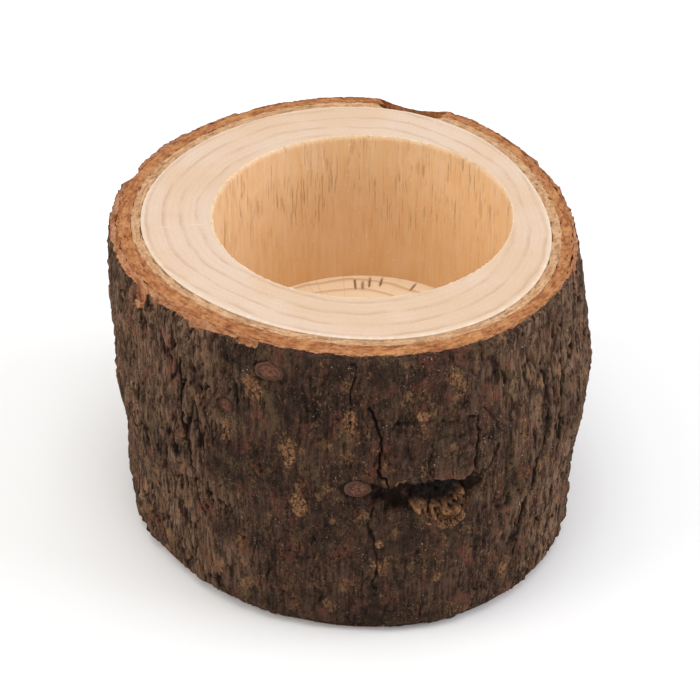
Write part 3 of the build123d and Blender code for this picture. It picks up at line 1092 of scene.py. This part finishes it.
def broken_branch():
    """The side branch: a cone inside the log that ends in a torn, sloping face in the scar."""
    root, mouth = branch_axis()
    way = (mouth - root).normalized()
    length = (mouth - root).length
    cone = [(0.0, 0.0), (0.8, 0.0)]
    cone += [(0.8 + (KNOT_RADIUS - 0.8) * t, length * t) for t in np.linspace(0, 0.86, 10)[1:]]
    cone += [(KNOT_RADIUS, length * t) for t in np.linspace(0.88, 0.985, 10)]
    face = [(KNOT_RADIUS * q, length) for q in np.linspace(1, 0, 22)]
    mesh = spun(cone + face, False, 96)
    turn = way.to_track_quat("Z", "Y").to_matrix()
    hollow, splinter = [], []
    for v in mesh.verts:
        t = v.co.z / length
        spot = root + turn @ v.co
        dark = bright = 0.0
        if t > 0.87:
            x, y = spot.x - PITH.x, spot.y - PITH.y
            angle = math.degrees(math.atan2(y, x))
            place = on_bark(angle, spot.z)
            skin = float(CRUST.radius(angle, spot.z)[0])
            hole, _, torn = scar(angle, spot.z, place)
            chunks = noise.cell(place / 0.75)
            ragged = 0.6 * grain(place, 0.5, 0.6, 3, 81) + 0.35 * (chunks - 0.5)
            end = skin - 0.9 * hole - 0.3 + ragged * (0.35 + 0.65 * torn)
            end -= 1.3 * smoothstep(0.75, 1.0, v.co.to_2d().length / KNOT_RADIUS)
            end -= 2.4 * smoothstep(0.3, 0.05, hole) * smoothstep(0.0, 1.0, spot.z - SCAR_HEIGHT)
            share = smoothstep(0.87, 1.0, t)
            radius = math.hypot(x, y)
            radius += (end - radius) * share
            spot = Vector((PITH.x, PITH.y, spot.z)) + Vector((x, y, 0)).normalized() * radius
            # Painted shade deep in the scar's hollow and in the low parts of the torn end
            dark = max(smoothstep(1.1, 1.9, hole), smoothstep(-0.12, -0.4, ragged))
            bright = 0.55 * smoothstep(0.1, 0.45, ragged) * (1 - dark)
        v.co = spot
        hollow.append(dark)
        splinter.append(bright)
    marks = {"hollow": hollow, "splinter": splinter}
    return finished(mesh, "broken_branch", (torn_wood(),), ["branch_knot"], marks, sharp=70)


def twig_ends():
    """Three small twig traces, each a rod through the bark with a domed, dimpled end."""
    mesh = bmesh.new()
    heart = []
    for (angle, height, radius), width in zip(TWIGS, TWIG_WIDTHS):
        outside = float(CRUST.radius(angle, height)[0])
        inside = float(WOOD.radius(angle, height)[0]) - 2.0
        length = outside - inside
        rows = [(0, 0), (radius * 0.9, 0)]
        rows += [(radius, t) for t in np.linspace(0.3, length - 0.2, 6)]
        rows += [(radius * 0.95, length - 0.05), (radius * 0.82, length + 0.04)]
        rows += [(radius * 0.6, length - 0.12), (radius * 0.42, length)]
        rows += [(radius * 0.22, length - 0.16), (0, length - 0.25)]
        rod = spun(rows, False, 48)
        a = math.radians(angle)
        turn = Vector((math.cos(a), math.sin(a), 0)).to_track_quat("Z", "Y").to_matrix().to_4x4()
        start = Vector((PITH.x + inside * math.cos(a), PITH.y + inside * math.sin(a), height))
        for v in rod.verts:
            heart.append(1 - v.co.to_2d().length / radius)
            v.co.z += 0.16 * plain(v.co, 0.6, 91) if v.co.z > length - 0.3 else 0.0
            v.co.x *= width * (1 + 0.2 * plain(v.co, 1.2, 92))
            v.co.y *= 1 + 0.25 * plain(v.co, 1.1, 93)
        bmesh.ops.transform(rod, matrix=Matrix.Translation(start) @ turn, verts=rod.verts)
        spare = bpy.data.meshes.new("rod")
        rod.to_mesh(spare)
        rod.free()
        mesh.from_mesh(spare)
        bpy.data.meshes.remove(spare)
    return finished(mesh, "twig_ends", (twig_end(),), ["twig_knots"], {"heart": heart})


# --- the studio


LIT_SPOT = (0, 0, 0.025)  # the middle of the log, which the lights are turned to


def studio_floor():
    mesh = bmesh.new()
    bmesh.ops.create_grid(mesh, x_segments=1, y_segments=1, size=3.0)
    bmesh.ops.translate(mesh, vec=(0, 0, -0.0002), verts=mesh.verts)
    data = bpy.data.meshes.new("studio_floor")
    mesh.to_mesh(data)
    mesh.free()
    f = Finish("white_paper", 0.9, specular=0.05)
    tint = f.blend(f.mottle((40, 40, 40)), (0.93, 0.93, 0.93), (0.95, 0.95, 0.95))
    data.materials.append(f.done(tint))
    piece = bpy.data.objects.new("studio_floor", data)
    bpy.context.scene.collection.objects.link(piece)


def softbox(name, place, size, power, colour=(1, 1, 1)):
    """A square area light, turned towards the middle of the log."""
    data = bpy.data.lights.new(name, "AREA")
    data.color = colour
    data.shape = "SQUARE"
    data.size = size
    data.energy = power
    lamp = bpy.data.objects.new(name, data)
    lamp.location = place
    lamp.rotation_euler = (Vector(LIT_SPOT) - Vector(place)).to_track_quat("-Z", "Y").to_euler()
    bpy.context.scene.collection.objects.link(lamp)


def studio():
    studio_floor()
    softbox("left_softbox", (-0.75, -0.2, 0.42), 0.5, 2.8, (1, 0.93, 0.84))
    softbox("right_softbox", (0.75, -0.1, 0.38), 0.5, 3.35, (0.95, 0.95, 1))
    softbox("top_softbox", (0.0, -0.12, 0.95), 0.55, 2.9)
    world = bpy.data.worlds.new("studio")
    world.use_nodes = True
    world.node_tree.nodes["Background"].inputs["Color"].default_value = (1, 1, 1, 1)
    world.node_tree.nodes["Background"].inputs["Strength"].default_value = 0.66
    bpy.context.scene.world = world
    bpy.context.scene.view_settings.view_transform = "Standard"


def camera():
    data = bpy.data.cameras.new("camera")
    data.lens = 102.8
    data.sensor_width = 36
    data.clip_start = 0.01
    made = bpy.data.objects.new("camera", data)
    made.location = (-0.0017, -0.2271, 0.1893)
    made.rotation_euler = (math.radians(53.61), 0, 0)
    bpy.context.scene.collection.objects.link(made)
    bpy.context.scene.camera = made


wood()
pith()
soft_layer("bast_ring", "inner_bark", sawn_bast(), WOOD, BAST, 0.16, 60)
soft_layer("cork_ring", "cork_layer", sawn_cork(), BAST, CORK, 0.3, 66)
crust()
broken_branch()
twig_ends()
studio()
camera()
